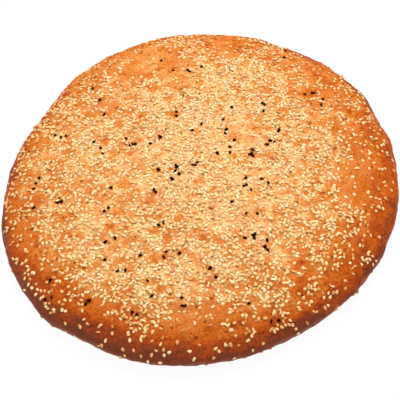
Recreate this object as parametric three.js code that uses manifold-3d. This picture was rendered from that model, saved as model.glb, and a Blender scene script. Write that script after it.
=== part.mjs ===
// A round flatbread: a low domed wheel of leavened dough with a soft, slightly oval rim,
// shallow dimples in its crown, and sesame and nigella seeds baked on to its crust.
// The loaf and its seeds are one solid. Millimetres, +Z up, +Y away from the viewer,
// origin on the table under the middle of the loaf.

import * as THREE from 'three';
import { mergeVertices } from 'three/addons/utils/BufferGeometryUtils.js';
import Module from 'manifold-3d';

// Driving dimensions of the loaf
const RADIUS = 145; // mean plan radius at the widest level
const HEIGHT = 38; // crown above the table
const WAIST = 14; // height of the widest level
const UNDERCUT = 15; // how far the edge of the flat base lies inside the widest level
const CROWN_FLATNESS = 2.6; // exponent across the dome: higher is a flatter crown
const SHOULDER_FULLNESS = 2.2; // exponent up the dome: higher is a squarer shoulder

// The plan is a circle swollen by a few broad waves, with small local bulges and dents.
// Angles are in degrees from +X, counterclockwise seen from above.
const RIM_WAVES = [
  { lobes: 2, swell: 6.8, toward: 59 },
  { lobes: 3, swell: 1.9, toward: -11 },
  { lobes: 4, swell: 0.7, toward: 32 },
  { lobes: 5, swell: 0.7, toward: -24 },
];
const RIM_BULGES = [
  { toward: 165, spread: 6, out: 1.8 },
  { toward: 151, spread: 5, out: -1.3 },
  { toward: 227, spread: 5, out: 1.4 },
  { toward: 241, spread: 7, out: -0.9 },
  { toward: 73, spread: 4, out: 1.7 },
  { toward: 65, spread: 4, out: -1.7 },
  { toward: 114, spread: 4, out: -1.2 },
  { toward: 22, spread: 5, out: -1.0 },
];

// Finger dimples, spread over the crown by the sunflower rule
const DIMPLE_COUNT = 30;
const DIMPLE_DEPTH = 1.6;
const DIMPLE_SPREAD = 11; // standard deviation of a dimple's bowl
const DIMPLE_REACH = 0.8; // share of the plan radius that holds dimples

// Seeds: the length, width and height that stand clear of the crust
const SESAME = { length: 3.1, width: 2.0, height: 0.8 };
const NIGELLA = { length: 3.2, width: 2.1, height: 1.3 };
const SEED_TAPER = 0.25; // how much narrower the pointed end is than the round end
const SEED_SINK = 0.15; // how far a seed's widest level lies below the crust
const SEED_COUNT = 380;
const SEED_REACH = 0.985; // share of the plan radius that holds seeds
const NIGELLA_REACH = 0.8;
const NIGELLA_EVERY = 3; // within that reach, every third seed is nigella
const SEED_TURN = THREE.MathUtils.degToRad(77); // each seed is turned this much from the last

// Facets
const SEGMENTS = 80; // around the loaf
const UNDER_STEPS = 4; // from the base's edge up to the widest level
const DOME_STEPS = 12; // from the widest level up to the crown

const GOLDEN_ANGLE = Math.PI * (3 - Math.sqrt(5));
const UP = new THREE.Vector3(0, 0, 1);
const DOWN = new THREE.Vector3(0, 0, -1);
const CRUST_COLOUR = '#d98e4e';

// Plan radius of the rim at an angle in radians, before the plan is centred.
function rimRadius(angle) {
  let radius = RADIUS;
  for (const { lobes, swell, toward } of RIM_WAVES) {
    radius += swell * Math.cos(lobes * (angle - THREE.MathUtils.degToRad(toward)));
  }
  for (const { toward, spread, out } of RIM_BULGES) {
    const away = THREE.MathUtils.euclideanModulo(THREE.MathUtils.radToDeg(angle) - toward + 180, 360) - 180;
    radius += out * Math.exp(-0.5 * (away / spread) ** 2);
  }
  return radius;
}

// The k-th of count points spread evenly over a disc: its share of the radius and its angle.
function sunflower(k, count) {
  return { share: Math.sqrt((k + 0.5) / count), angle: k * GOLDEN_ANGLE };
}

// Middles of the finger dimples in the plan of the round loaf.
const dimples = Array.from({ length: DIMPLE_COUNT }, (_, k) => {
  const { share, angle } = sunflower(k, DIMPLE_COUNT);
  const radius = share * DIMPLE_REACH * RADIUS;
  return new THREE.Vector2(radius * Math.cos(angle), radius * Math.sin(angle));
});

// How far the crust lies below the smooth dome at a plan point.
function dimpleDepth(x, y) {
  const bowls = dimples.map((middle) => {
    const distance = Math.hypot(x - middle.x, y - middle.y) / DIMPLE_SPREAD;
    return Math.exp(-0.5 * distance ** 2);
  });
  return DIMPLE_DEPTH * bowls.reduce((sum, bowl) => sum + bowl, 0);
}

// Half section of the round loaf as (radius, height): out along the flat base, round a quarter
// ellipse to the widest level, then up a superellipse to the crown.
function halfSection() {
  const points = [new THREE.Vector2(0, 0)];
  for (let i = 0; i <= UNDER_STEPS; i++) {
    const t = (i / UNDER_STEPS) * (Math.PI / 2);
    const radius = RADIUS - UNDERCUT * (1 - Math.sin(t));
    points.push(new THREE.Vector2(radius, WAIST * (1 - Math.cos(t))));
  }
  for (let i = DOME_STEPS - 1; i > 0; i--) {
    const t = (i / DOME_STEPS) * (Math.PI / 2);
    const radius = RADIUS * Math.sin(t) ** (2 / CROWN_FLATNESS);
    const rise = (HEIGHT - WAIST) * Math.cos(t) ** (2 / SHOULDER_FULLNESS);
    points.push(new THREE.Vector2(radius, WAIST + rise));
  }
  points.push(new THREE.Vector2(0, HEIGHT));
  return points;
}

// The bare loaf: the half section turned about Z, dimpled on top, then stretched to the rim's plan.
function crustGeometry() {
  const geometry = new THREE.LatheGeometry(halfSection(), SEGMENTS).rotateX(Math.PI / 2);
  const position = geometry.getAttribute('position');
  for (let i = 0; i < position.count; i++) {
    const x = position.getX(i);
    const y = position.getY(i);
    const z = position.getZ(i);
    const stretch = rimRadius(Math.atan2(y, x)) / RADIUS;
    const sink = z > WAIST ? dimpleDepth(x, y) * ((z - WAIST) / (HEIGHT - WAIST)) : 0;
    position.setXYZ(i, x * stretch, y * stretch, z - sink);
  }
  geometry.computeBoundingBox();
  const middle = geometry.boundingBox.getCenter(new THREE.Vector3());
  return geometry.translate(-middle.x, -middle.y, 0);
}

// One seed lying along X on the plane Z = 0, six-cornered from above, its round end at -X. Its lower
// half is under that plane, in the crust.
function seedGeometry({ length, width, height }) {
  const geometry = new THREE.SphereGeometry(1, 4, 3).rotateZ(Math.PI / 2);
  const position = geometry.getAttribute('position');
  for (let i = 0; i < position.count; i++) {
    const along = position.getX(i);
    const girth = 1 - SEED_TAPER * along;
    position.setXYZ(
      i,
      (along * length) / 2,
      (position.getY(i) * girth * width) / 2,
      position.getZ(i) * girth * (height + SEED_SINK) - SEED_SINK,
    );
  }
  return geometry;
}

// Where the k-th seed lies on the bare loaf: dropped from above on to the facet below it,
// flat against that facet and turned about it.
function seedPlace(k, loaf, middle) {
  const { share, angle } = sunflower(k, SEED_COUNT);
  const radius = share * SEED_REACH * rimRadius(angle);
  const above = new THREE.Vector3(
    radius * Math.cos(angle) + middle.x,
    radius * Math.sin(angle) + middle.y,
    2 * HEIGHT,
  );
  const [hit] = new THREE.Raycaster(above, DOWN).intersectObject(loaf, false);
  const lean = new THREE.Quaternion().setFromUnitVectors(UP, hit.face.normal);
  const turn = new THREE.Quaternion().setFromAxisAngle(UP, k * SEED_TURN);
  const one = new THREE.Vector3(1, 1, 1);
  return new THREE.Matrix4().compose(hit.point, lean.multiply(turn), one);
}

// A closed geometry as a solid that can be joined to others.
function toSolid(wasm, geometry) {
  const bare = new THREE.BufferGeometry();
  bare.setAttribute('position', geometry.getAttribute('position').clone());
  bare.setIndex(geometry.getIndex().clone());
  const merged = mergeVertices(bare);
  const corners = merged.getIndex().array;
  const triVerts = [];
  for (let i = 0; i < corners.length; i += 3) {
    const [a, b, c] = [corners[i], corners[i + 1], corners[i + 2]];
    if (a !== b && b !== c && c !== a) triVerts.push(a, b, c);
  }
  return new wasm.Manifold(
    new wasm.Mesh({
      numProp: 3,
      vertProperties: merged.getAttribute('position').array,
      triVerts: new Uint32Array(triVerts),
    }),
  );
}

// A solid as a geometry for a mesh.
function toGeometry(solid) {
  const { vertProperties, triVerts } = solid.getMesh();
  const geometry = new THREE.BufferGeometry();
  geometry.setAttribute('position', new THREE.BufferAttribute(vertProperties, 3));
  geometry.setIndex(new THREE.BufferAttribute(triVerts, 1));
  geometry.computeVertexNormals();
  return geometry;
}

const wasm = await Module();
wasm.setup();

const loaf = new THREE.Mesh(crustGeometry());
const pole = loaf.geometry.getAttribute('position');
const middle = new THREE.Vector3(pole.getX(0), pole.getY(0), 0);
const solids = [toSolid(wasm, loaf.geometry)];
for (let k = 0; k < SEED_COUNT; k++) {
  const inner = sunflower(k, SEED_COUNT).share < NIGELLA_REACH;
  const kind = inner && k % NIGELLA_EVERY === 0 ? NIGELLA : SESAME;
  const seed = seedGeometry(kind).applyMatrix4(seedPlace(k, loaf, middle));
  solids.push(toSolid(wasm, seed));
}

const flatbread = new THREE.Mesh(
  toGeometry(wasm.Manifold.union(solids)),
  new THREE.MeshStandardMaterial({ color: CRUST_COLOUR, roughness: 0.55, metalness: 0, flatShading: true }),
);
flatbread.name = 'flatbread';

const part = new THREE.Group();
part.add(flatbread);

export default part;
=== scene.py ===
"""The looks of a round sesame flatbread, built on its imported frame.

The loaf is a low dome of baked dough on a flat base. Four meshes stand for the frame's one node: the
browned crust, and the pale sesame, the golden sesame and the black nigella that lie on it. Sizes are in
millimetres, and become metres in the meshes. A direction that a field holds is in degrees from +X,
counterclockwise seen from above, and arrays of directions are in radians.
"""

import logging
import math
from dataclasses import dataclass
from enum import Enum

import bpy
import numpy as np
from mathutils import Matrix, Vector


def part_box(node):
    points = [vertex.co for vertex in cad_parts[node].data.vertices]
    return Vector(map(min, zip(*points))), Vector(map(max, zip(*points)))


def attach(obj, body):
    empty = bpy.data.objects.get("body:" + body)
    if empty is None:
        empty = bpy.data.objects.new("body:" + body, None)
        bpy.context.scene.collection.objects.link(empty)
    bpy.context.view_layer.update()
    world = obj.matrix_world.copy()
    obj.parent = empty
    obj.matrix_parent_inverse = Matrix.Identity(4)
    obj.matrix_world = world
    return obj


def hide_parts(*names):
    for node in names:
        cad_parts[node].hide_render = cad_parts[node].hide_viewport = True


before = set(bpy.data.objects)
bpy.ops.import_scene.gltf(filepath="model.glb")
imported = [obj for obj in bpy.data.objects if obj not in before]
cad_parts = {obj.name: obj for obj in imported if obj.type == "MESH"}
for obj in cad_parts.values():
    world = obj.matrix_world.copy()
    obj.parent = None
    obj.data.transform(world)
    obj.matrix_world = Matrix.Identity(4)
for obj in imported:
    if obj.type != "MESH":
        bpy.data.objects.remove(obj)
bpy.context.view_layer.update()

MM = 0.001
NODE = "flatbread"
BODY = "root"
BAKE_MAP = "OFBake"
IMAGE_PIXELS = 400
SENSOR_WIDTH = 36.0
LOAF_RADIUS = 145.0
NOISE_MIDDLE = 0.5
WHITE = (1.0, 1.0, 1.0, 1.0)
CHANNEL_MOST = 255
SRGB_TOE = 0.04045
SRGB_TOE_SLOPE = 12.92
SRGB_OFFSET = 0.055
SRGB_POWER = 2.4
FULL_TURN = 2 * math.pi
GOLDEN_ANGLE = math.pi * (3 - math.sqrt(5))
TINY = 1e-9
ROUNDING = 1e-6
log = logging.getLogger("flatbread")

Span = tuple[float, float]
Colour = tuple[float, float, float]
Stops = tuple[tuple[float, Colour], ...]
Socket = bpy.types.NodeSocket
Entry = Socket | float | tuple[float, ...]
Entries = dict[str | int, Entry]


class Slot(Enum):
    """The record's material slots."""

    CRUST = "crust"
    SESAME = "sesame"
    NIGELLA = "nigella"


class Operation(Enum):
    """What a Math node does with two numbers."""

    ADD = "ADD"
    SUBTRACT = "SUBTRACT"
    MULTIPLY = "MULTIPLY"


def bell(away: np.ndarray) -> np.ndarray:
    """A bell curve of a distance in standard deviations: 1 at 0, falling both ways."""
    return np.exp(-0.5 * away**2)


def degrees_off(angle: np.ndarray, toward: float) -> np.ndarray:
    """How far directions in radians lie from one in degrees, from -180 to 180 degrees."""
    return (np.degrees(angle) - toward + 180) % 360 - 180


def unit(vectors: np.ndarray) -> np.ndarray:
    """Vectors, one a row, brought to a length of 1."""
    return vectors / np.linalg.norm(vectors, axis=1, keepdims=True)


def turned(vectors: np.ndarray, toward: np.ndarray, angle: np.ndarray) -> np.ndarray:
    """Each unit vector turned by an angle in radians towards another that is square to it."""
    return np.cos(angle)[:, None] * vectors + np.sin(angle)[:, None] * toward


def linear(colour: Colour) -> tuple[float, ...]:
    """A display colour as the linear colour that shaders take.

    By the sRGB curve a channel is straight in its dark toe, and above it a power of the shifted share.

    Args:
        colour: red, green and blue, 0 to 255.

    Returns:
        Linear red, green and blue, and an alpha of 1.
    """
    shares = np.array(colour) / CHANNEL_MOST
    toe = shares / SRGB_TOE_SLOPE
    curve = ((shares + SRGB_OFFSET) / (1 + SRGB_OFFSET)) ** SRGB_POWER
    channels = np.where(shares < SRGB_TOE, toe, curve)
    return (*channels.tolist(), 1.0)


@dataclass(frozen=True)
class Ease:
    """A smooth step from one value to another, by 3t² - 2t³ with t from 0 at the start to 1 at the end.

    The end may lie below the start, for a step that is made as the input falls.
    """

    start: float
    end: float
    before: float = 0.0
    after: float = 1.0

    def at(self, values: np.ndarray) -> np.ndarray:
        """The step's value at each input."""
        t = np.clip((values - self.start) / (self.end - self.start), 0, 1)
        return self.before + (self.after - self.before) * (t * t * (3 - 2 * t))


@dataclass(frozen=True)
class Wave:
    """A broad swell of the rim: how many lobes it has, how far they swell, and where one points."""

    lobes: int
    swell: float
    toward: float


@dataclass(frozen=True)
class Bulge:
    """A small bulge of the rim, or a dent if out is negative."""

    toward: float
    spread: float
    out: float


@dataclass(frozen=True)
class Patch:
    """A round patch of the plan, with what it adds at its middle."""

    x: float
    y: float
    spread: float
    amount: float

    def at(self, x: np.ndarray, y: np.ndarray) -> np.ndarray:
        """What the patch adds at places of the plan, by a bell about its middle."""
        return self.amount * bell(np.hypot(x - self.x, y - self.y) / self.spread)


@dataclass(frozen=True)
class Ripples:
    """Smooth unevenness: a sum of plane waves of about one length, in random directions and phases."""

    wavelength: float
    height: float
    seed: int
    count: int = 40
    length_spread: Span = (0.7, 1.5)

    def at(self, points: np.ndarray) -> np.ndarray:
        """The unevenness at points, with a standard deviation of height.

        Args:
            points: places in millimetres, one a row.

        Returns:
            One value for each point.
        """
        rng = np.random.default_rng(self.seed)
        ways = unit(rng.normal(size=(self.count, 3)))
        turns = FULL_TURN / (self.wavelength * rng.uniform(*self.length_spread, self.count))
        phases = rng.uniform(0, FULL_TURN, self.count)
        waves = np.cos(points @ (ways * turns[:, None]).T + phases)
        return self.height * math.sqrt(2 / self.count) * waves.sum(axis=1)


@dataclass(frozen=True)
class Bumps:
    """Bell-shaped bumps scattered evenly over the loaf's disc, or pits where their height is negative."""

    count: int
    width: Span
    height: Span
    seed: int

    def at(self, points: np.ndarray) -> np.ndarray:
        """The height that the bumps add at points.

        Args:
            points: places in millimetres, one a row.

        Returns:
            One value for each point.
        """
        rng = np.random.default_rng(self.seed)
        reach = LOAF_RADIUS * np.sqrt(rng.uniform(0, 1, self.count))
        turn = rng.uniform(0, FULL_TURN, self.count)
        width = rng.uniform(*self.width, self.count)
        height = rng.uniform(*self.height, self.count)
        rise = np.zeros(len(points))
        for x, y, spread, amount in zip(reach * np.cos(turn), reach * np.sin(turn), width, height):
            rise += Patch(x, y, spread, amount).at(points[:, 0], points[:, 1])
        return rise


@dataclass(frozen=True)
class Spots:
    """Places on the loaf's skin: directions in radians, and lengths along the section from the crown."""

    angle: np.ndarray
    arc: np.ndarray


@dataclass
class Loaf:
    """The loaf's form: its plan, its section and the relief of its skin."""

    radius: float = LOAF_RADIUS
    height: float = 38.0
    waist: float = 14.0
    undercut: float = 15.0
    crown_flatness: float = 2.6
    shoulder_fullness: float = 2.2
    shoulder: Span = (0.72, 0.97)
    waves: tuple[Wave, ...] = (Wave(2, 6.8, 59), Wave(3, 1.9, -11), Wave(4, 0.7, 32), Wave(5, 0.7, -24))
    bulges: tuple[Bulge, ...] = (
        Bulge(165, 6, 1.8), Bulge(151, 5, -1.3), Bulge(227, 5, 1.4), Bulge(241, 7, -0.9),
        Bulge(73, 4, 1.7), Bulge(65, 4, -1.7), Bulge(114, 4, -1.2), Bulge(22, 5, -1.0),
    )
    dimple_count: int = 30
    dimple_depth: float = 1.6
    dimple_spread: float = 11.0
    dimple_reach: float = 0.8
    swells: tuple[Ripples, ...] = (Ripples(26, 0.3, 11), Ripples(9, 0.13, 12), Ripples(4.5, 0.06, 13))
    blisters: Bumps = Bumps(300, (1.6, 4.5), (0.1, 0.5), 21)
    pits: Bumps = Bumps(300, (0.7, 1.2), (-0.65, -0.2), 22)
    wrinkles: Ripples = Ripples(4.6, 0.12, 15)
    wrinkle_draw: float = 5.0
    above_waist: Ease = Ease(0.0, 8.0)
    above_table: Ease = Ease(0.5, 7.0)
    base_roughness: Ripples = Ripples(6, 0.6, 14)
    base_lift: float = 0.12
    slope_step: float = 0.2
    normal_step: float = 0.9
    rim_steps: int = 1440
    section_steps: int = 1500

    def __post_init__(self) -> None:
        """Works out the section, the plan's middle and the scale that the frame gives."""
        self.arc, self.section_radius, self.section_height = self._section()
        angles = np.linspace(0, FULL_TURN, self.rim_steps, endpoint=False)
        rim = self.rim(angles)
        across = rim * np.cos(angles)
        along = rim * np.sin(angles)
        self.middle = np.array([across.max() + across.min(), along.max() + along.min()]) / 2
        low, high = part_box(NODE)
        self.scale = (high[0] - low[0]) / MM / (across.max() - across.min())
        self.waist_arc = float(self.arc[np.argmax(self.section_radius)])
        self.base_arc = float(self.arc[np.argmax(self.section_height <= 0)])

    def _section(self) -> tuple[np.ndarray, np.ndarray, np.ndarray]:
        """The half section of the round loaf, from the crown to the middle of the base.

        The dome is a superellipse from crown to waist, the lower edge a quarter ellipse, the base flat.

        Returns:
            The length along the section, and the radius and height there.
        """
        steps = self.section_steps
        t = np.linspace(0, math.pi / 2, steps)
        sine = np.sin(t)
        cosine = np.clip(np.cos(t), 0, 1)
        dome_radius = self.radius * sine ** (2 / self.crown_flatness)
        dome_height = self.waist + (self.height - self.waist) * cosine ** (2 / self.shoulder_fullness)
        edge_radius = self.radius - self.undercut * (1 - cosine)
        edge_height = self.waist * (1 - sine)
        base_radius = np.linspace(self.radius - self.undercut, 0, steps)
        radius = np.concatenate([dome_radius, edge_radius[1:], base_radius[1:]])
        height = np.concatenate([dome_height, edge_height[1:], np.zeros(steps - 1)])
        height[np.abs(height) < TINY] = 0
        arc = np.concatenate([[0], np.cumsum(np.hypot(np.diff(radius), np.diff(height)))])
        return arc, radius, height

    def radius_at(self, arc: np.ndarray) -> np.ndarray:
        """The round loaf's radius at lengths along the section."""
        return np.interp(arc, self.arc, self.section_radius)

    def height_at(self, arc: np.ndarray) -> np.ndarray:
        """The plain form's height at lengths along the section."""
        return np.interp(arc, self.arc, self.section_height)

    def rim(self, angle: np.ndarray) -> np.ndarray:
        """The plan radius of the rim: a circle with cosine waves and bell-shaped bulges.

        Args:
            angle: directions in radians.

        Returns:
            The radius in each direction.
        """
        radius = np.full_like(angle, self.radius, dtype=float)
        for wave in self.waves:
            radius += wave.swell * np.cos(wave.lobes * (angle - math.radians(wave.toward)))
        for bulge in self.bulges:
            radius += bulge.out * bell(degrees_off(angle, bulge.toward) / bulge.spread)
        return radius

    def share(self, x: np.ndarray, y: np.ndarray) -> tuple[np.ndarray, np.ndarray]:
        """Plan places as shares of the rim's radius and as directions.

        Args:
            x: places to the right of the frame's origin.
            y: places beyond the frame's origin.

        Returns:
            The share of the rim's radius, and the direction in radians.
        """
        across = x / self.scale + self.middle[0]
        along = y / self.scale + self.middle[1]
        angle = np.arctan2(along, across)
        return np.hypot(across, along) / self.rim(angle), angle

    def arc_at(self, share: np.ndarray) -> np.ndarray:
        """The length along the section, from the crown, at shares of the rim's radius on the dome."""
        dome = self.arc <= self.waist_arc
        return np.interp(share * self.radius, self.section_radius[dome], self.arc[dome])

    def rimward(self, arc: np.ndarray) -> np.ndarray:
        """How far a place is from crown to rim: 0 on the crown, 1 past the shoulder and on the wall."""
        start, end = self.arc_at(np.array(self.shoulder))
        return Ease(start, end).at(arc)

    def drawn(self, spots: Spots) -> np.ndarray:
        """Coordinates in which a pattern comes out drawn long round the loaf, as the dough's wrinkles are.

        They are a cylinder's, with the arc as its height, and a radius a few times smaller than the loaf's.

        Args:
            spots: where on the skin.

        Returns:
            Three coordinates in millimetres, one place a row.
        """
        radius = self.radius / self.wrinkle_draw
        return np.stack([radius * np.cos(spots.angle), radius * np.sin(spots.angle), spots.arc], axis=1)

    def dimple_sink(self, x: np.ndarray, y: np.ndarray) -> np.ndarray:
        """How far finger dimples lower the dome: bell-shaped bowls, spread by the sunflower rule.

        Args:
            x: places across the round loaf's plan.
            y: places along it.

        Returns:
            The depth at each place.
        """
        sink = np.zeros_like(x)
        for k in range(self.dimple_count):
            reach = math.sqrt((k + 0.5) / self.dimple_count) * self.dimple_reach * self.radius
            turn = k * GOLDEN_ANGLE
            middle = (reach * math.cos(turn), reach * math.sin(turn))
            sink += Patch(*middle, self.dimple_spread, self.dimple_depth).at(x, y)
        return sink

    def outward(self, spots: Spots) -> np.ndarray:
        """The round loaf's outward direction, square to the section's slope.

        Args:
            spots: where on the skin.

        Returns:
            Unit vectors, one a row.
        """
        ahead = np.minimum(spots.arc + self.slope_step, self.arc[-1])
        behind = np.maximum(spots.arc - self.slope_step, 0)
        run = self.radius_at(ahead) - self.radius_at(behind)
        fall = self.height_at(behind) - self.height_at(ahead)
        length = np.maximum(np.hypot(run, fall), TINY)
        square = np.stack([np.cos(spots.angle) * fall, np.sin(spots.angle) * fall, run], axis=1)
        return square / length[:, None]

    def relief(self, points: np.ndarray, spots: Spots) -> np.ndarray:
        """How far the skin stands off its plain form: swells, bubbles, pits and wrinkles round the rim.

        Args:
            points: places on the plain form, one a row.
            spots: where on the skin they are.

        Returns:
            The height outwards at each place, 0 at the table.
        """
        height = points[:, 2]
        rise = (self.blisters.at(points) + self.pits.at(points)) * self.above_waist.at(height - self.waist)
        rise += self.wrinkles.at(self.drawn(spots)) * self.rimward(spots.arc)
        for swell in self.swells:
            rise += swell.at(points)
        return rise * self.above_table.at(height)

    def skin(self, spots: Spots) -> np.ndarray:
        """The loaf's surface: the section carried round the rim, dimpled, with its relief and a rough base.

        Args:
            spots: where on the skin.

        Returns:
            Places in the frame, in millimetres, one a row.
        """
        radius = self.radius_at(spots.arc)
        height = self.height_at(spots.arc)
        x = radius * np.cos(spots.angle)
        y = radius * np.sin(spots.angle)
        rise = np.clip((height - self.waist) / (self.height - self.waist), 0, 1)
        sink = self.dimple_sink(x, y) * np.where(spots.arc < self.waist_arc, rise, 0)
        stretch = self.rim(spots.angle) / self.radius
        points = np.stack([x * stretch, y * stretch, height - sink], axis=1)
        points[:, :2] -= self.middle
        points *= self.scale
        points += self.outward(spots) * self.relief(points, spots)[:, None]
        on_base = spots.arc >= self.base_arc - ROUNDING
        lift = self.base_lift * (1 + np.tanh(self.base_roughness.at(points)))
        points[:, 2] += np.where(on_base, lift, 0)
        return points

    def normals(self, spots: Spots) -> np.ndarray:
        """Outward normals of the skin, from its slopes along the section and round the loaf.

        Args:
            spots: where on the skin.

        Returns:
            Unit normals, one a row.
        """
        angle, arc = spots.angle, spots.arc
        step = self.normal_step
        turn = step / np.maximum(self.radius_at(arc), step)
        down = self.skin(Spots(angle, arc + step)) - self.skin(Spots(angle, np.maximum(arc - step, 0)))
        sideways = self.skin(Spots(angle + turn, arc)) - self.skin(Spots(angle - turn, arc))
        return unit(np.cross(down, sideways))


@dataclass
class Sprinkle:
    """How thickly the sesame lies: thinner at the rim, times what the patches add, times the clumps."""

    loaf: Loaf
    density: float = 0.101
    rim_fade: Ease = Ease(0.75, 1.0, 1.0, 0.55)
    clumps: tuple[Ripples, ...] = (Ripples(16, 0.24, 41), Ripples(9, 0.4, 42))
    least: float = 0.1
    patch_strength: float = 1.35
    thick_patches: tuple[Patch, ...] = (
        Patch(-19, 40, 30, 0.58), Patch(-1, -7, 26, 0.58), Patch(8, 94, 17, 0.75),
        Patch(42, 87, 12, 0.35), Patch(63, 46, 11, 0.5), Patch(-41, 76, 10, 0.6),
        Patch(-116, 56, 13, 1.7), Patch(-134, 10, 11, 0.65), Patch(-99, -42, 13, 0.45),
        Patch(3, -26, 10, 0.6), Patch(54, 10, 10, 0.65), Patch(91, 15, 8, 0.5),
        Patch(95, -53, 16, 0.42), Patch(63, -50, 9, 0.4), Patch(-84, -77, 12, 0.65),
        Patch(45, -119, 8, 1.2), Patch(38, -98, 13, 0.45), Patch(4, -92, 11, 0.4),
        Patch(-28, -98, 10, 0.55), Patch(-55, -95, 25, 0.25), Patch(-40, -122, 9.5, 1.35),
        Patch(-36, -62, 11, 0.35), Patch(11, 55, 10, 0.7), Patch(-70, -13, 9, 0.4),
        Patch(-79, 19, 13, 0.6), Patch(57, 22, 9, 0.4), Patch(54, 131, 10, 1.3),
        Patch(-14, 139, 11, 0.9), Patch(114, 80, 10, 0.45),
    )
    bare_patches: tuple[Patch, ...] = (
        Patch(-34, 102, 18, -1.1), Patch(-52, 88, 10, -0.5), Patch(-15, 77, 11, -0.7),
        Patch(18, 123, 16, -0.9), Patch(31, 30, 11, -0.85), Patch(86, 82, 16, -0.35),
        Patch(80, 38, 9, -0.3), Patch(88, 112, 12, -0.6), Patch(128, 0, 20, -0.5),
        Patch(122, -50, 10, -0.7), Patch(110, 34, 11, -0.3), Patch(107, -19, 15, -0.38),
        Patch(114, -71, 10, -0.6), Patch(91, -92, 9, -0.4), Patch(61, -75, 10, -0.35),
        Patch(77, -118, 8, -0.4), Patch(46, -40, 13, -0.4), Patch(-64, 53, 13, -0.5),
        Patch(-58, 13, 8, -0.55), Patch(-45, -3, 11, -0.6), Patch(-76, -33, 12, -0.6),
        Patch(-65, -75, 10, -0.75), Patch(16, 23, 11, -0.6), Patch(-118, -68, 11, -0.7),
        Patch(-75, -124, 12, -0.8), Patch(-50, -137, 11, -0.6), Patch(-10, -133, 20, -0.75),
        Patch(-94, -88, 8, -0.7),
    )

    def at(self, x: np.ndarray, y: np.ndarray) -> np.ndarray:
        """Seeds a square millimetre of the plan.

        Args:
            x: places to the right of the frame's origin.
            y: places beyond it.

        Returns:
            The density at each place.
        """
        share, _ = self.loaf.share(x, y)
        flat = np.stack([x, y, np.zeros_like(x)], axis=1)
        patches = self.thick_patches + self.bare_patches
        clumping = 1 + sum(ripples.at(flat) for ripples in self.clumps)
        thickness = 1 + self.patch_strength * sum(patch.at(x, y) for patch in patches)
        thinned = self.density * self.rim_fade.at(share)
        return thinned * np.maximum(thickness, self.least) * np.maximum(clumping, self.least)

    def bareness(self, x: np.ndarray, y: np.ndarray) -> np.ndarray:
        """How bare the crust is: 0 at the usual density, up to 1 with no seed, below 0 in clumps."""
        return np.clip(1 - self.at(x, y) / self.density, -1, 1)


def capped_tube(rows: int, columns: int, flipped: bool = False) -> tuple[np.ndarray, np.ndarray]:
    """Faces of a closed tube: a grid of points, row by row, and two last points that close its ends.

    Args:
        rows: rows of points.
        columns: points round a row.
        flipped: whether the faces turn the other way round.

    Returns:
        The quads between the rows, and the triangles of the fans at the ends.
    """
    index = np.arange(rows * columns).reshape(rows, columns)
    beside = np.roll(index, -1, axis=1)
    quads = np.stack([index[:-1], index[1:], beside[1:], beside[:-1]], axis=-1).reshape(-1, 4)
    hub = np.full(columns, rows * columns)
    first = np.stack([hub, index[0], beside[0]], axis=1)
    last = np.stack([hub + 1, beside[-1], index[-1]], axis=1)
    triangles = np.concatenate([first, last])
    if flipped:
        return quads[:, [0, 3, 2, 1]], triangles[:, [0, 2, 1]]
    return quads, triangles


def make_mesh(
    name: str, points: np.ndarray, quads: np.ndarray, triangles: np.ndarray, charts: np.ndarray
) -> bpy.types.Object:
    """A smooth-shaded object at the origin from arrays of places and faces.

    Args:
        name: the piece's name.
        points: places in millimetres, one a row.
        quads: four corners a row, outward.
        triangles: three corners a row, outward.
        charts: the bake map's place of every corner, the quads' corners first.

    Returns:
        The new object, in the scene.
    """
    mesh = bpy.data.meshes.new(name)
    corners = np.concatenate([quads.ravel(), triangles.ravel()]).astype(np.int32)
    quad_starts = np.arange(len(quads)) * 4
    triangle_starts = len(quads) * 4 + np.arange(len(triangles)) * 3
    starts = np.concatenate([quad_starts, triangle_starts]).astype(np.int32)
    mesh.vertices.add(len(points))
    mesh.vertices.foreach_set("co", (points * MM).astype(np.float32).ravel())
    mesh.loops.add(len(corners))
    mesh.loops.foreach_set("vertex_index", corners)
    mesh.polygons.add(len(starts))
    mesh.polygons.foreach_set("loop_start", starts)
    mesh.polygons.foreach_set("use_smooth", np.ones(len(starts), dtype=bool))
    layer = mesh.uv_layers.new(name=BAKE_MAP)
    layer.uv.foreach_set("vector", charts.astype(np.float32).ravel())
    mesh.update(calc_edges=True)
    mesh.validate()
    piece = bpy.data.objects.new(name, mesh)
    bpy.context.scene.collection.objects.link(piece)
    return piece


def add_values(piece: bpy.types.Object, name: str, values: np.ndarray) -> None:
    """Gives a piece a number or a vector at each vertex, which its material reads by name.

    Args:
        piece: the object.
        name: the attribute's name.
        values: one value, or one row of three, for each vertex.
    """
    single = values.ndim == 1
    attribute = piece.data.attributes.new(name, "FLOAT" if single else "FLOAT_VECTOR", "POINT")
    attribute.data.foreach_set("value" if single else "vector", values.astype(np.float32).ravel())


@dataclass(frozen=True)
class Clouds:
    """Cloudy noise: clouds a metre, octaves, and how strong the finer octaves are."""

    scale: float
    detail: float
    roughness: float = 0.5


@dataclass(frozen=True)
class Glow:
    """Light through a skin: its share, its reach in millimetres, and how far each colour goes."""

    share: float
    reach: float
    spread: Colour


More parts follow.
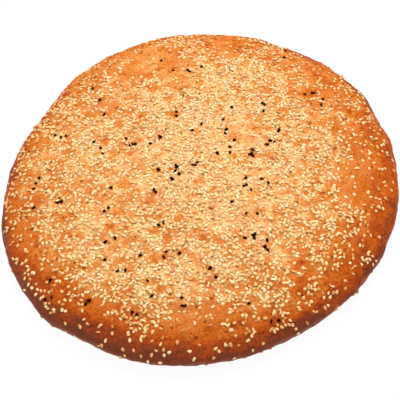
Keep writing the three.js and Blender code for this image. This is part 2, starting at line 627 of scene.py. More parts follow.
class Shader:
    """A Principled material under construction: short ways to add nodes and join them."""

    def __init__(self, name: str) -> None:
        """Starts a material with a bare Principled surface.

        Args:
            name: the material's name.
        """
        self.material = bpy.data.materials.new(name)
        self.material.use_nodes = True
        self.tree = self.material.node_tree

    def enter(self, node: bpy.types.Node, entries: Entries) -> None:
        """Links outputs to a node's inputs, or sets constants on them.

        Args:
            node: the node.
            entries: an output or a constant for each input, by its name or its place.
        """
        for key, given in entries.items():
            if isinstance(given, Socket):
                self.tree.links.new(given, node.inputs[key])
            else:
                node.inputs[key].default_value = given

    def add(self, kind: str, entries: Entries | None = None, **settings: object) -> bpy.types.Node:
        """Adds a node of a kind.

        Args:
            kind: the node's type.
            entries: what its inputs get.
            settings: names and values of its properties.

        Returns:
            The new node.
        """
        node = self.tree.nodes.new(kind)
        for name, value in settings.items():
            setattr(node, name, value)
        self.enter(node, entries or {})
        return node

    def surface(self, entries: Entries) -> None:
        """Links outputs to the Principled surface's own inputs, or sets constants on them."""
        self.enter(self.tree.nodes["Principled BSDF"], entries)

    def number(self, name: str) -> Socket:
        """A number that the piece holds at its vertices."""
        return self.add("ShaderNodeAttribute", attribute_name=name).outputs["Fac"]

    def vector(self, name: str) -> Socket:
        """A vector that the piece holds at its vertices."""
        return self.add("ShaderNodeAttribute", attribute_name=name).outputs["Vector"]

    def noise(self, clouds: Clouds, on: Socket | None = None) -> Socket:
        """Cloudy noise, shifted to lie about 0.

        Args:
            clouds: the noise's scale and octaves.
            on: the coordinates, or the object's own.

        Returns:
            The noise's value, about -0.5 to 0.5.
        """
        place = on or self.add("ShaderNodeTexCoord").outputs["Object"]
        sizes = {"Scale": clouds.scale, "Detail": clouds.detail, "Roughness": clouds.roughness}
        node = self.add("ShaderNodeTexNoise", {"Vector": place, **sizes})
        return self.maths(Operation.SUBTRACT, node.outputs["Fac"], NOISE_MIDDLE)

    def maths(self, operation: Operation, first: Entry, second: Entry, clamp: bool = False) -> Socket:
        """A sum, difference or product of two sockets or numbers, kept from 0 to 1 if it is clamped."""
        node = self.add("ShaderNodeMath", {0: first, 1: second}, operation=operation.value, use_clamp=clamp)
        return node.outputs["Value"]

    def total(self, first: Socket, *parts: tuple[Socket, float]) -> Socket:
        """Adds weighted values to a value.

        Args:
            first: the value that counts whole.
            parts: further values, each with its weight.

        Returns:
            The sum, from 0 to 1.
        """
        result = first
        for part, weight in parts:
            weighted = self.maths(Operation.MULTIPLY, part, weight)
            result = self.maths(Operation.ADD, result, weighted, clamp=True)
        return result

    def ease(self, source: Socket, step: Ease) -> Socket:
        """Puts a value through a smooth step.

        Args:
            source: the value.
            step: the step.

        Returns:
            The step's value.
        """
        node = self.add("ShaderNodeMapRange", {"Value": source}, interpolation_type="SMOOTHSTEP", clamp=True)
        self.enter(node, {"From Min": step.start, "From Max": step.end})
        self.enter(node, {"To Min": step.before, "To Max": step.after})
        return node.outputs["Result"]

    def ramp(self, source: Socket, stops: Stops) -> Socket:
        """Colours a value by stops.

        Args:
            source: the value, 0 to 1.
            stops: places and display colours.

        Returns:
            The colour's socket.
        """
        node = self.add("ShaderNodeValToRGB", {"Fac": source})
        elements = node.color_ramp.elements
        while len(elements) < len(stops):
            # A new stop starts midway, and the next loop moves it to its place.
            elements.new(0.5)
        for element, (place, colour) in zip(elements, stops):
            element.position = place
            element.color = linear(colour)
        return node.outputs["Color"]

    def cover(self, below: Socket, above: Colour, amount: Socket) -> Socket:
        """Covers a colour with another by an amount.

        Args:
            below: the colour below.
            above: the display colour above.
            amount: how much of it shows.

        Returns:
            The mixed colour's socket.
        """
        node = self.add("ShaderNodeMix", {"Factor": amount}, data_type="RGBA")
        lower, upper = (entry for entry in node.inputs if entry.type == "RGBA")
        self.tree.links.new(below, lower)
        upper.default_value = linear(above)
        return next(result for result in node.outputs if result.type == "RGBA")

    def bump(self, height: Socket, distance: float) -> None:
        """Roughens the surface by a height, of which 1 stands for a distance in millimetres."""
        node = self.add("ShaderNodeBump", {"Height": height, "Distance": distance * MM})
        self.surface({"Normal": node.outputs["Normal"]})

    def glow(self, glow: Glow) -> None:
        """Lets light through the skin."""
        self.surface({"Subsurface Weight": glow.share, "Subsurface Scale": glow.reach * MM})
        self.surface({"Subsurface Radius": glow.spread})


@dataclass(frozen=True)
class CrustFinish:
    """Baked dough: golden on the crown, browner to the rim, dark on the wall with painted shade, mottled and
    wrinkled.
    """

    # The darkest stops are reached low on the wall, whose darkness is partly painted shade.
    stops: Stops = (
        (0.0, (238, 192, 130)),
        (0.22, (212, 134, 60)),
        (0.45, (199, 106, 25)),
        (0.65, (178, 76, 7)),
        (0.85, (144, 59, 18)),
        (1.0, (112, 55, 34)),
    )
    mottle: Clouds = Clouds(140, 4, 0.6)
    mottle_depth: float = 0.2
    grain: Clouds = Clouds(560, 3, 0.65)
    grain_depth: float = 1.0
    wrinkle: Clouds = Clouds(240, 3, 0.6)
    wrinkle_depth: float = 0.2
    blush: Colour = (216, 130, 80)
    blush_clouds: Clouds = Clouds(95, 4, 0.65)
    blush_cover: Ease = Ease(-0.08, 0.2, 0.0, 0.45)
    # A pink painted sheen: a reflection painted on the wall.
    painted_sheen: Colour = (200, 124, 104)
    speck: Colour = (112, 42, 12)
    speck_clouds: Clouds = Clouds(330, 1, 0.3)
    speck_cover: Ease = Ease(0.17, 0.25, 0.0, 0.85)
    gloss_clouds: Clouds = Clouds(220, 2)
    roughness: Ease = Ease(-0.2, 0.2, 0.38, 0.56)
    pores: Clouds = Clouds(760, 4, 0.55)
    pore_wrinkle: float = 1.2
    pore_depth: float = 0.6
    shine: float = 0.05
    glow: Glow = Glow(0.8, 1.5, (1.0, 0.4, 0.15))

    def make(self) -> bpy.types.Material:
        """Builds the crust's material: brownness with painted shade as colour, then a blush on the crown, a
        painted sheen and specks.

        Returns:
            The material.
        """
        shader = Shader("baked_crust")
        rimward = shader.number("rimward")
        wrinkle = shader.noise(self.wrinkle, on=shader.vector("drawn"))
        rim_wrinkle = shader.maths(Operation.MULTIPLY, wrinkle, rimward)
        # Brownness with painted shade on the wall and in the pits, roughened by noise.
        browning_and_shade = shader.total(
            shader.number("browning_and_shade"),
            (shader.noise(self.mottle), self.mottle_depth),
            (shader.noise(self.grain), self.grain_depth),
            (rim_wrinkle, self.wrinkle_depth),
        )
        colour = shader.ramp(browning_and_shade, self.stops)
        crownward = shader.maths(Operation.SUBTRACT, 1.0, rimward)
        blush = shader.ease(shader.noise(self.blush_clouds), self.blush_cover)
        colour = shader.cover(colour, self.blush, shader.maths(Operation.MULTIPLY, blush, crownward))
        # Pink painted sheen: a reflection painted on the wall.
        colour = shader.cover(colour, self.painted_sheen, shader.number("painted_sheen"))
        specks = shader.ease(shader.noise(self.speck_clouds), self.speck_cover)
        colour = shader.cover(colour, self.speck, specks)
        roughness = shader.ease(shader.noise(self.gloss_clouds), self.roughness)
        pores = shader.total(shader.noise(self.pores), (rim_wrinkle, self.pore_wrinkle))
        shader.bump(pores, self.pore_depth)
        shader.surface({"Base Color": colour, "Roughness": roughness, "Specular IOR Level": self.shine})
        shader.glow(self.glow)
        return shader.material


@dataclass(frozen=True)
class SesameFinish:
    """Hulled sesame under a glaze: its own tone on top, amber at its pointed end, and amber with painted
    shade down its lower sides.
    """

    name: str
    stops: Stops
    amber: Colour
    tip_amber: Ease = Ease(0.62, 1.0, 0.0, 0.5)
    # Amber down each seed's lower sides: partly glaze, partly painted shade.
    foot_amber_and_shade: Ease = Ease(0.55, -0.35, 0.0, 0.85)
    roughness: float = 0.42
    shine: float = 0.28
    glow: Glow = Glow(0.45, 0.8, (1.0, 0.7, 0.4))

    def make(self) -> bpy.types.Material:
        """Builds the sesame's material from each seed's tone and the place along and up it.

        Returns:
            The material.
        """
        shader = Shader(self.name)
        colour = shader.ramp(shader.number("tone"), self.stops)
        colour = shader.cover(colour, self.amber, shader.ease(shader.number("along"), self.tip_amber))
        # Amber with painted shade down the seed's lower sides.
        colour = shader.cover(colour, self.amber, shader.ease(shader.number("lift"), self.foot_amber_and_shade))
        shader.surface({"Base Color": colour, "Roughness": self.roughness, "Specular IOR Level": self.shine})
        shader.glow(self.glow)
        return shader.material


PALE_SESAME = SesameFinish(
    name="pale_sesame",
    stops=((0.0, (253, 231, 184)), (1.0, (247, 209, 149))),
    amber=(226, 164, 92),
)
GOLDEN_SESAME = SesameFinish(
    name="golden_sesame",
    stops=((0.0, (242, 198, 132)), (0.5, (230, 172, 102)), (1.0, (200, 130, 66))),
    amber=(200, 124, 56),
)


@dataclass(frozen=True)
class NigellaFinish:
    """Nigella: dull black with a brown cast on some seeds."""

    stops: Stops = ((0.0, (36, 10, 5)), (0.7, (54, 18, 8)), (1.0, (92, 40, 18)))
    roughness: float = 0.7
    shine: float = 0.0

    def make(self) -> bpy.types.Material:
        """Builds the nigella's material from each seed's tone.

        Returns:
            The material.
        """
        shader = Shader("black_nigella")
        colour = shader.ramp(shader.number("tone"), self.stops)
        shader.surface({"Base Color": colour, "Roughness": self.roughness, "Specular IOR Level": self.shine})
        return shader.material


@dataclass(frozen=True)
class FloorFinish:
    """A plain pale floor that glows a little, so that only a faint shadow lies on it."""

    colour: Colour = (97, 97, 97)
    glow: float = 0.93
    roughness: float = 0.9
    shine: float = 0.0

    def make(self) -> bpy.types.Material:
        """Builds the floor's material.

        Returns:
            The material.
        """
        shader = Shader("pale_floor")
        colour = linear(self.colour)
        shader.surface({"Base Color": colour, "Roughness": self.roughness, "Specular IOR Level": self.shine})
        shader.surface({"Emission Color": WHITE, "Emission Strength": self.glow})
        return shader.material


def dress(piece: bpy.types.Object, material: bpy.types.Material, slot: Slot) -> None:
    """Gives a piece its material, sets what it moves with, and hides the frame's part that it stands for.

    Args:
        piece: the object.
        material: its finish.
        slot: the record's slot; not used.
    """
    piece.data.materials.append(material)
    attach(piece, BODY)
    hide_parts(NODE)


@dataclass(frozen=True)
class Disc:
    """A disc on a bake map: its middle and its radius, as shares of the map."""

    u: float
    v: float
    reach: float


@dataclass
class Crust:
    """The loaf's whole skin, dome, wall and base, as one closed grid.

    Ring, rim and edge brown by the share of the rim's radius; the wall darkens, by baking and by painted
    shade, and takes a pink painted sheen by the height above the waist; the base browns by the length along
    the section past its edge. One side is browner, and another stays clearer of the wall's painted shade
    and painted sheen.
    """

    loaf: Loaf
    sprinkle: Sprinkle
    finish: CrustFinish = CrustFinish()
    around: int = 600
    dome_rows: int = 134
    edge_rows: int = 14
    base_rows: int = 10
    inner: float = 0.8
    pale: float = 0.045
    ring_browning: Ease = Ease(0.1, 0.5, 0.0, 0.14)
    rim_browning: Ease = Ease(0.6, 1.02, 0.0, 0.3)
    edge_browning: Ease = Ease(0.88, 0.99, 0.0, 0.13)
    # The wall darkens by baking and by painted shade.
    wall_browning_and_shade: Ease = Ease(14.5, 1.0, 0.0, 0.47)
    # How much pink painted sheen, a painted reflection, the wall takes.
    wall_painted_sheen: Ease = Ease(16.0, 6.0, 0.0, 0.06)
    onto_base: Ease = Ease(-6.0, 4.0)
    dome_darkest: float = 0.78
    base_browning: float = 0.86
    bare_browning: float = 0.15
    # Pits darken by baking and by painted shade.
    pit_browning_and_shade: float = 0.8
    browner_toward: float = -38.0
    browner_by: float = 0.46
    clear_toward: float = -10.0
    clear_spread: float = 45.0
    clear_share: float = 0.5
    blotches: tuple[Ripples, ...] = (Ripples(60, 0.035, 31), Ripples(22, 0.045, 32), Ripples(9, 0.035, 33))
    even_wall: float = 0.15
    streaks: Ripples = Ripples(9, 0.055, 34)
    scorches: tuple[Patch, ...] = (
        Patch(-108, -112, 16, 0.2), Patch(-58, -134, 22, 0.14), Patch(44, -122, 14, -0.1),
        Patch(-20, -124, 26, -0.06), Patch(-78, -84, 22, -0.05), Patch(119, 58, 14, -0.06),
        Patch(-60, 95, 45, -0.05), Patch(5, -95, 40, -0.05),
    )
    dome_disc: Disc = Disc(0.41, 0.59, 0.4)
    under_disc: Disc = Disc(0.85, 0.15, 0.14)

    def clearness(self, angle: np.ndarray) -> np.ndarray:
        """How clear the wall stays of its dull darkening, part baked and part painted shade, and of its
        painted
        sheen: 1 on one side, by a bell of directions in radians.
        """
        return bell(degrees_off(angle, self.clear_toward) / self.clear_spread)

    def browning_and_shade(self, points: np.ndarray, spots: Spots) -> np.ndarray:
        """How brown the crust is, with painted shade on the wall and in the pits, 0 pale to 1 dark.

        It adds up the ring, the rim on its browner side and the edge, then places where few seeds lie,
        streaks round the rim, pits darkened with painted shade, blotches, and scorched or paler patches.
        That sum has an upper limit. The wall, darkened by baking and by painted shade, is added to it, less
        on the clear side, and the base is evenly brown.

        Args:
            points: places on the skin, one a row.
            spots: where on the skin they are.

        Returns:
            One value for each place.
        """
        x, y, height = points.T
        loaf = self.loaf
        share, _ = loaf.share(x, y)
        rimward = loaf.rimward(spots.arc)
        clear = self.clearness(spots.angle)
        side = 1 + self.browner_by * np.cos(spots.angle - math.radians(self.browner_toward))
        brown = self.pale + self.ring_browning.at(share) + self.rim_browning.at(share) * side
        brown += self.edge_browning.at(share) * (1 - clear)
        brown += self.bare_browning * self.sprinkle.bareness(x, y) * (1 - rimward)
        brown += self.streaks.at(loaf.drawn(spots)) * rimward
        # Pits darken: painted shade in them, and baking.
        brown -= self.pit_browning_and_shade * loaf.pits.at(points)
        for blotch in self.blotches:
            brown += blotch.at(points) * (1 - self.even_wall * rimward)
        for scorch in self.scorches:
            brown += scorch.at(x, y)
        brown = np.minimum(brown, self.dome_darkest)
        # The wall darkens: baked colour and painted shade.
        brown += self.wall_browning_and_shade.at(height - loaf.waist) * (1 - self.clear_share * clear)
        on_base = self.onto_base.at(spots.arc - loaf.base_arc)
        return np.clip(brown * (1 - on_base) + self.base_browning * on_base, 0, 1)

    def painted_sheen(self, points: np.ndarray, spots: Spots) -> np.ndarray:
        """How much pink painted sheen, a reflection painted on the crust, there is: most on the wall, none
        on the crown and the clear side.
        """
        return self.wall_painted_sheen.at(points[:, 2] - self.loaf.waist) * (1 - self.clearness(spots.angle))

    def charts(self, spots: Spots, faces: np.ndarray) -> np.ndarray:
        """The bake map's place of every corner of faces: one disc for the dome, one for the underside.

        Args:
            spots: where on the skin the vertices are.
            faces: the corners of each face, one face a row.

        Returns:
            Two numbers a corner, each from 0 to 1.
        """
        loaf = self.loaf
        angle = spots.angle[faces]
        arc = spots.arc[faces]
        on_dome = (arc <= loaf.waist_arc + ROUNDING).all(axis=1)[:, None]
        from_crown = arc / loaf.waist_arc
        from_foot = (loaf.arc[-1] - arc) / (loaf.arc[-1] - loaf.waist_arc)
        dome, under = self.dome_disc, self.under_disc
        reach = np.where(on_dome, from_crown * dome.reach, from_foot * under.reach)
        u = np.where(on_dome, dome.u, under.u) + reach * np.cos(angle)
        v = np.where(on_dome, dome.v, under.v) + reach * np.sin(angle)
        return np.stack([u, v], axis=-1).reshape(-1, 2)

    def build(self) -> bpy.types.Object:
        """Builds and dresses the crust: rows of arc length by columns of angle, with a fan at each pole.

        Returns:
            The crust's object.
        """
        loaf = self.loaf
        foot = loaf.arc[-1]
        dome = np.linspace(self.inner, loaf.waist_arc, self.dome_rows, endpoint=False)
        edge = np.linspace(loaf.waist_arc, loaf.base_arc, self.edge_rows, endpoint=False)
        base = np.linspace(loaf.base_arc, foot - self.inner, self.base_rows)
        rows = np.concatenate([dome, edge, base])
        turns = np.arange(self.around) * FULL_TURN / self.around
        arc, angle = (grid.ravel() for grid in np.meshgrid(rows, turns, indexing="ij"))
        spots = Spots(np.concatenate([angle, [0, 0]]), np.concatenate([arc, [0, foot]]))
        points = loaf.skin(spots)
        quads, triangles = capped_tube(len(rows), self.around)
        charts = np.concatenate([self.charts(spots, quads), self.charts(spots, triangles)])
        piece = make_mesh("crust", points, quads, triangles, charts)
        # Brownness with painted shade on the wall and in the pits.
        add_values(piece, "browning_and_shade", self.browning_and_shade(points, spots))
        # The painted sheen: a reflection painted on the wall.
        add_values(piece, "painted_sheen", self.painted_sheen(points, spots))
        add_values(piece, "rimward", loaf.rimward(spots.arc))
        add_values(piece, "drawn", loaf.drawn(spots) * MM)
        dress(piece, self.finish.make(), Slot.CRUST)
        return piece


@dataclass(frozen=True)
class SeedShape:
    """One seed's form: rings along it from its blunt end, closed at each end, with soft corners or none."""

    length: float
    width: float
    thickness: float
    rings: tuple[float, ...]
    sides: int = 6
    blunt_power: float = 0.55
    sharp_power: float = 0.8
    corners: int = 3
    corner_swell: float = 0.0

    def template(self) -> tuple[np.ndarray, np.ndarray, np.ndarray]:
        """One seed along +X: a drop whose girth at t along it is t^blunt_power (1 - t)^sharp_power.

        Returns:
            Its points, quads and triangles.
        """
        t = np.array(self.rings)
        girth = t**self.blunt_power * (1 - t) ** self.sharp_power
        girth /= girth.max()
        around = np.arange(self.sides) * FULL_TURN / self.sides
        swell = 1 + self.corner_swell * np.cos(self.corners * around)
        x = np.repeat((t - 0.5)[:, None] * self.length, self.sides, axis=1)
        y = girth[:, None] * np.cos(around) * swell * self.width / 2
        z = girth[:, None] * np.sin(around) * swell * self.thickness / 2
        body = np.stack([x, y, z], axis=-1).reshape(-1, 3)
        ends = np.array([[-self.length / 2, 0, 0], [self.length / 2, 0, 0]])
        quads, triangles = capped_tube(len(t), self.sides, flipped=True)
        return np.concatenate([body, ends]), quads, triangles


@dataclass(frozen=True)
class Laid:
    """Seeds laid on the skin: their middles, and three axes a seed as rows."""

    middles: np.ndarray
    axes: np.ndarray

    def some(self, chosen: np.ndarray) -> "Laid":
        """The chosen ones of the seeds."""
        return Laid(self.middles[chosen], self.axes[chosen])


def crowding(places: np.ndarray, reach: float, block: int = 200) -> np.ndarray:
    """How many earlier places lie within reach of each place.

    Args:
        places: places, one a row, in the order in which they were filled.
        reach: the distance that counts as near.
        block: how many places are compared at once with all.

    Returns:
        A whole number for each place.
    """
    order = np.arange(len(places))
    crowd = np.zeros(len(places), dtype=int)
    for start in range(0, len(places), block):
        these = order[start : start + block]
        gaps = np.linalg.norm(places[these, None, :] - places[None], axis=2)
        crowd[these] = ((gaps < reach) & (order[None] < these[:, None])).sum(axis=1)
    return crowd


@dataclass(frozen=True)
class Bed:
    """How seeds settle on the skin: sunk by a share of their thickness, and propped where they crowd.

    Near is a share of a seed's width, and lift one of its thickness. Tilt and roll are in radians.
    """

    sunk: float
    near: float = 0.95
    most_props: int = 2
    tilt: float = 0.1
    prop_tilt: Span = (0.1, 0.6)
    roll: float = 0.12
    prop_roll: float = 2.0
    prop_lift: float = 0.25

    def lay(self, loaf: Loaf, shape: SeedShape, spots: Spots, rng: np.random.Generator) -> Laid:
        """Lays seeds on the skin: about flat, turned at random, and tilted, rolled and lifted where propped.

        Args:
            loaf: the form that they lie on.
            shape: one seed.
            spots: where on the skin they lie.
            rng: the random draws.

        Returns:
            The laid seeds.
        """
        count = len(spots.angle)
        normal = loaf.normals(spots)
        places = loaf.skin(spots)
        propped = np.minimum(crowding(places, shape.width * self.near), self.most_props)
        tilt = rng.normal(0, self.tilt, count) + propped * rng.uniform(*self.prop_tilt, count)
        turn = rng.uniform(0, FULL_TURN, count)
        roll = rng.normal(0, self.roll, count) * (1 + self.prop_roll * propped)
        across = unit(np.cross(normal, np.array([0.0, 1.0, 0.0])))
        flat = turned(across, np.cross(normal, across), turn)
        lengthwise = turned(flat, normal, tilt)
        level = unit(np.cross(normal, lengthwise))
        sideways = turned(level, np.cross(lengthwise, level), roll)
        upward = np.cross(lengthwise, sideways)
        lift = shape.thickness * (0.5 - self.sunk + self.prop_lift * propped)
        return Laid(places + normal * lift[:, None], np.stack([lengthwise, sideways, upward], axis=1))


@dataclass
class Seeds:
    """Seeds of one kind: one low mesh copied to every place, all in one array."""

    name: str
    slot: Slot
    shape: SeedShape
    finish: SesameFinish | NigellaFinish
    size_spread: float = 0.11
    size_limits: Span = (0.75, 1.25)
    tone_steps: int = 16
    chart_size: Span = (0.4, 0.9)
    chart_columns: Span = (0.25, 0.75)

    def charts(self, points: np.ndarray, faces: np.ndarray, steps: np.ndarray) -> np.ndarray:
        """The bake map of every seed: those of one tone share a cell, its left half for their upper sides.

        Args:
            points: one seed's points.
            faces: one seed's faces of one kind.
            steps: each seed's tone step.

        Returns:
            Two numbers for every corner of those faces of every seed.
        """
        side = math.ceil(math.sqrt(self.tone_steps))
        corners = points[faces]
        upper, lower = self.chart_columns
        column = np.where(corners[:, :, 2].mean(axis=1) < 0, lower, upper)
        u = column[:, None] + self.chart_size[0] * corners[:, :, 1] / self.shape.width
        v = 0.5 + self.chart_size[1] * corners[:, :, 0] / self.shape.length
        inside = np.stack([u, v], axis=-1).reshape(-1, 2)
        cell = np.stack([steps % side, steps // side], axis=1)
        return ((cell[:, None, :] + inside[None]) / side).reshape(-1, 2)

    def build(self, laid: Laid, tones: np.ndarray, rng: np.random.Generator) -> bpy.types.Object:
        """Builds and dresses every seed of this kind as one mesh.

        Args:
            laid: where the seeds lie.
            tones: how dark each is among its kind, from 0 to 1.
            rng: the random draws.

        Returns:
            The seeds' object.
        """
        count = len(tones)
        points, quads, triangles = self.shape.template()
        sizes = np.clip(rng.normal(1, self.size_spread, (count, 1, 3)), *self.size_limits)
        placed = laid.middles[:, None, :] + np.einsum("npk,nkc->npc", points * sizes, laid.axes)
        steps = np.clip(np.floor(tones * self.tone_steps), 0, self.tone_steps - 1).astype(int)
        offsets = np.arange(count)[:, None, None] * len(points)
        all_quads = (quads + offsets).reshape(-1, 4)
        all_triangles = (triangles + offsets).reshape(-1, 3)
        charts = np.concatenate([self.charts(points, quads, steps), self.charts(points, triangles, steps)])
        piece = make_mesh(self.name, placed.reshape(-1, 3), all_quads, all_triangles, charts)
        add_values(piece, "tone", np.repeat((steps + 0.5) / self.tone_steps, len(points)))
        add_values(piece, "along", np.tile(points[:, 0] / self.shape.length + 0.5, count))
        add_values(piece, "lift", np.tile(points[:, 2] / (self.shape.thickness / 2), count))
        dress(piece, self.finish.make(), self.slot)
        return piece


@dataclass(frozen=True)
class Pinch:
    """A few nigella seeds that fell together: where, how many, and how far apart."""

    x: float
    y: float
    count: int
    spread: float


@dataclass
class Nigella:
    """The nigella: pinches over the crown and towards the near rim, with single seeds between."""

    loaf: Loaf
    shape: SeedShape = SeedShape(3.1, 1.95, 1.45, rings=(0.1, 0.3, 0.55, 0.85), corner_swell=0.14)
    bed: Bed = Bed(sunk=0.08)
    pinches: tuple[Pinch, ...] = (
        Pinch(-18, 100, 4, 11), Pinch(67, 112, 2, 5), Pinch(78, 67, 3, 5), Pinch(-80, 71, 2, 9),
        Pinch(44, 57, 3, 5), Pinch(-105, 33, 3, 7), Pinch(-20, 43, 2, 5), Pinch(16, 30, 4, 9),
        Pinch(56, 30, 2, 3), Pinch(-55, 16, 4, 9), Pinch(-32, 18, 2, 5), Pinch(-74, 7, 2, 4),
        Pinch(20, 10, 2, 2), Pinch(34, 8, 4, 3), Pinch(48, 16, 3, 4), Pinch(-31, -8, 2, 2),
        Pinch(-19, -6, 3, 2), Pinch(-20, -16, 3, 3), Pinch(-6, -4, 3, 3), Pinch(-120, -12, 2, 7),
        Pinch(30, -19, 4, 4), Pinch(43, -20, 2, 3), Pinch(-98, -33, 3, 2), Pinch(-30, -31, 2, 5),
        Pinch(20, -37, 2, 2), Pinch(33, -46, 2, 3), Pinch(-62, -40, 2, 8), Pinch(-29, -53, 2, 3),
        Pinch(35, -62, 2, 2), Pinch(41, -68, 5, 4), Pinch(-64, -70, 3, 7), Pinch(-20, -78, 3, 8),
        Pinch(-42, -89, 4, 11), Pinch(6, -90, 2, 6), Pinch(-14, -109, 3, 5), Pinch(-101, -98, 3, 9),
        Pinch(-78, -111, 3, 5), Pinch(-45, -120, 2, 3), Pinch(42, -118, 3, 9),
    )
    gather: float = 0.7
    singles: int = 14
    single_reach: float = 0.85
    tone_draw: Span = (1.6, 3.2)
    seed: int = 61

    def __post_init__(self) -> None:
        """Lets the seeds fall, so that others can keep clear of them."""
        self.rng = np.random.default_rng(self.seed)
        self.x, self.y = self.scatter()

    def scatter(self) -> tuple[np.ndarray, np.ndarray]:
        """Where the seeds fall: about each pinch by a bell, and singly over the plan.

        Returns:
            Places to the right of the frame's origin, and beyond it.
        """
        middles = np.array([[pinch.x, pinch.y] for pinch in self.pinches for _ in range(pinch.count)])
        spreads = np.array([pinch.spread for pinch in self.pinches for _ in range(pinch.count)])
        fallen = middles + self.rng.normal(0, 1, middles.shape) * spreads[:, None] * self.gather
        reach = self.single_reach * self.loaf.radius * np.sqrt(self.rng.uniform(0, 1, self.singles))
        turn = self.rng.uniform(0, FULL_TURN, self.singles)
        single = np.stack([reach * np.cos(turn), reach * np.sin(turn)], axis=1)
        x, y = np.concatenate([fallen, single]).T
        return x, y

    def build(self) -> bpy.types.Object:
        """Lays and builds the nigella.

        Returns:
            The seeds' object.
        """
        share, angle = self.loaf.share(self.x, self.y)
        spots = Spots(angle, self.loaf.arc_at(share))
        laid = self.bed.lay(self.loaf, self.shape, spots, self.rng)
        tones = self.rng.beta(*self.tone_draw, len(angle))
        seeds = Seeds("nigella_seeds", Slot.NIGELLA, self.shape, NigellaFinish())
        return seeds.build(laid, tones, self.rng)


@dataclass
class Sesame:
    """The sesame: a shaken honeycomb thinned to the sprinkle's density, with stragglers on the wall.

    It makes two kinds, the pale seeds and the golden ones that toasted more. The toast is a random draw,
    more at the rim, less on the wall by the height above the waist, and more in patches.
    """

    loaf: Loaf
    sprinkle: Sprinkle
    nigella: Nigella
    shape: SeedShape = SeedShape(3.1, 2.04, 1.25, rings=(0.13, 0.42, 0.78))
    bed: Bed = Bed(sunk=0.35)
    grid_reach: float = 1.1
    pitch: float = 2.5
    shake: float = 1.15
    reach: float = 0.975
    clearance: float = 1.8
    stragglers: int = 175
    straggler_band: Span = (-14.0, 7.0)
    straggler_sides: Span = (40.0, 330.0)
    toast_draw: Span = (1.3, 2.3)
    rim_toast: float = 0.28
    wall_toast: Ease = Ease(16.0, 6.0, 0.0, -0.14)
    toasts: tuple[Patch, ...] = (Patch(84, 84, 30, 0.1),)
    golden_from: float = 0.4
    seed: int = 52

    def scatter(self, rng: np.random.Generator) -> Spots:
        """Where the seeds fall: places of a shaken honeycomb kept by chance, clear of the nigella.

        Args:
            rng: the random draws.

        Returns:
            Where on the skin they are, in the order in which they fell.
        """
        loaf = self.loaf
        reach = loaf.radius * self.grid_reach
        row = self.pitch * math.sqrt(3) / 2
        x, y = np.meshgrid(np.arange(-reach, reach, self.pitch), np.arange(-reach, reach, row))
        x[1::2] += self.pitch / 2
        x, y = (axis.ravel() + rng.uniform(-self.shake, self.shake, axis.size) for axis in (x, y))
        share, angle = loaf.share(x, y)
        gaps = np.hypot(x[:, None] - self.nigella.x, y[:, None] - self.nigella.y).min(axis=1)
        falls = rng.random(len(x)) < self.sprinkle.at(x, y) * self.pitch * row
        keep = falls & (share < self.reach) & (gaps > self.clearance)
        wall_arc = loaf.waist_arc + rng.uniform(*self.straggler_band, self.stragglers)
        wall_angle = np.radians(rng.uniform(*self.straggler_sides, self.stragglers))
        angle = np.concatenate([angle[keep], wall_angle])
        arc = np.concatenate([loaf.arc_at(share[keep]), wall_arc])
        order = rng.permutation(len(angle))
        return Spots(angle[order], arc[order])

    def build(self) -> list[bpy.types.Object]:
        """Scatters the sesame, and builds its pale and its golden seeds.

        Returns:
            The two kinds' objects.
        """
        rng = np.random.default_rng(self.seed)
        spots = self.scatter(rng)
        laid = self.bed.lay(self.loaf, self.shape, spots, rng)
        x, y, height = laid.middles.T
        toast = rng.beta(*self.toast_draw, len(x)) + self.rim_toast * self.loaf.rimward(spots.arc)
        toast += self.wall_toast.at(height - self.loaf.waist)
        for patch in self.toasts:
            toast += patch.at(x, y)
        golden = toast > self.golden_from
        pale_tones = toast[~golden] / self.golden_from
        golden_tones = (toast[golden] - self.golden_from) / (1 - self.golden_from)
        pale_seeds = Seeds("pale_sesame", Slot.SESAME, self.shape, PALE_SESAME)
        golden_seeds = Seeds("golden_sesame", Slot.SESAME, self.shape, GOLDEN_SESAME)
        return [
            pale_seeds.build(laid.some(~golden), pale_tones, rng),
            golden_seeds.build(laid.some(golden), golden_tones, rng),
        ]


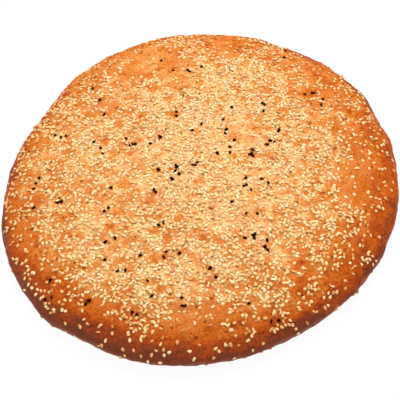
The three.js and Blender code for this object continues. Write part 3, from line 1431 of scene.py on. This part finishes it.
@dataclass
class Studio:
    """A pale floor, an even sky, a large soft lamp above and behind, and a camera as in the photograph."""

    floor_reach: float = 30000.0
    sky: float = 0.7
    key_place: tuple[float, float, float] = (40.0, 400.0, 1150.0)
    key_size: float = 700.0
    key_watts: float = 11.9
    aim: tuple[float, float, float] = (-1.9, -20.9, 19.0)
    elevation: float = 53.0
    distance: float = 720.0
    focal_pixels: float = 1015.0

    def floor(self) -> None:
        """Lays the floor at the foot of the loaf."""
        square = np.array([[-1, -1, 0], [1, -1, 0], [1, 1, 0], [-1, 1, 0]])
        quads = np.arange(4).reshape(1, 4)
        no_triangles = np.zeros((0, 3), dtype=int)
        piece = make_mesh("floor", square * self.floor_reach, quads, no_triangles, (square[:, :2] + 1) / 2)
        piece.data.materials.append(FloorFinish().make())

    def lights(self) -> None:
        """Sets the sky and the lamp, which looks at the frame's origin."""
        scene = bpy.context.scene
        world = bpy.data.worlds.new("soft_sky")
        world.use_nodes = True
        background = world.node_tree.nodes["Background"]
        background.inputs["Color"].default_value = WHITE
        background.inputs["Strength"].default_value = self.sky
        scene.world = world
        lamp = bpy.data.lights.new("key", "AREA")
        lamp.shape = "DISK"
        lamp.size = self.key_size * MM
        lamp.energy = self.key_watts
        key = bpy.data.objects.new("key", lamp)
        key.location = Vector(self.key_place) * MM
        key.rotation_euler = (-Vector(self.key_place)).to_track_quat("-Z", "Y").to_euler()
        scene.collection.objects.link(key)

    def camera(self) -> None:
        """Aims the camera as the photograph was taken, and shows colours as they are."""
        scene = bpy.context.scene
        lens = bpy.data.cameras.new("camera")
        lens.sensor_width = SENSOR_WIDTH
        lens.lens = self.focal_pixels / IMAGE_PIXELS * SENSOR_WIDTH
        lift = math.radians(self.elevation)
        back = Vector((0, -math.cos(lift), math.sin(lift)))
        camera = bpy.data.objects.new("camera", lens)
        camera.location = (Vector(self.aim) + back * self.distance) * MM
        camera.rotation_euler = (-back).to_track_quat("-Z", "Y").to_euler()
        scene.collection.objects.link(camera)
        scene.camera = camera
        scene.view_settings.view_transform = "Standard"
        scene.view_settings.look = "None"

    def build(self) -> None:
        """Builds the floor, the lights and the camera."""
        self.floor()
        self.lights()
        self.camera()


def main() -> None:
    """Builds and reports the loaf's pieces in order, then builds the studio."""
    logging.basicConfig(level=logging.INFO)
    loaf = Loaf()
    sprinkle = Sprinkle(loaf)
    nigella = Nigella(loaf)
    sesame = Sesame(loaf, sprinkle, nigella)
    pieces = [Crust(loaf, sprinkle).build(), nigella.build(), *sesame.build()]
    for piece in pieces:
        mesh = piece.data
        log.info("%s: %d vertices, %d faces", piece.name, len(mesh.vertices), len(mesh.polygons))
    Studio().build()


if __name__ == "__main__":
    main()
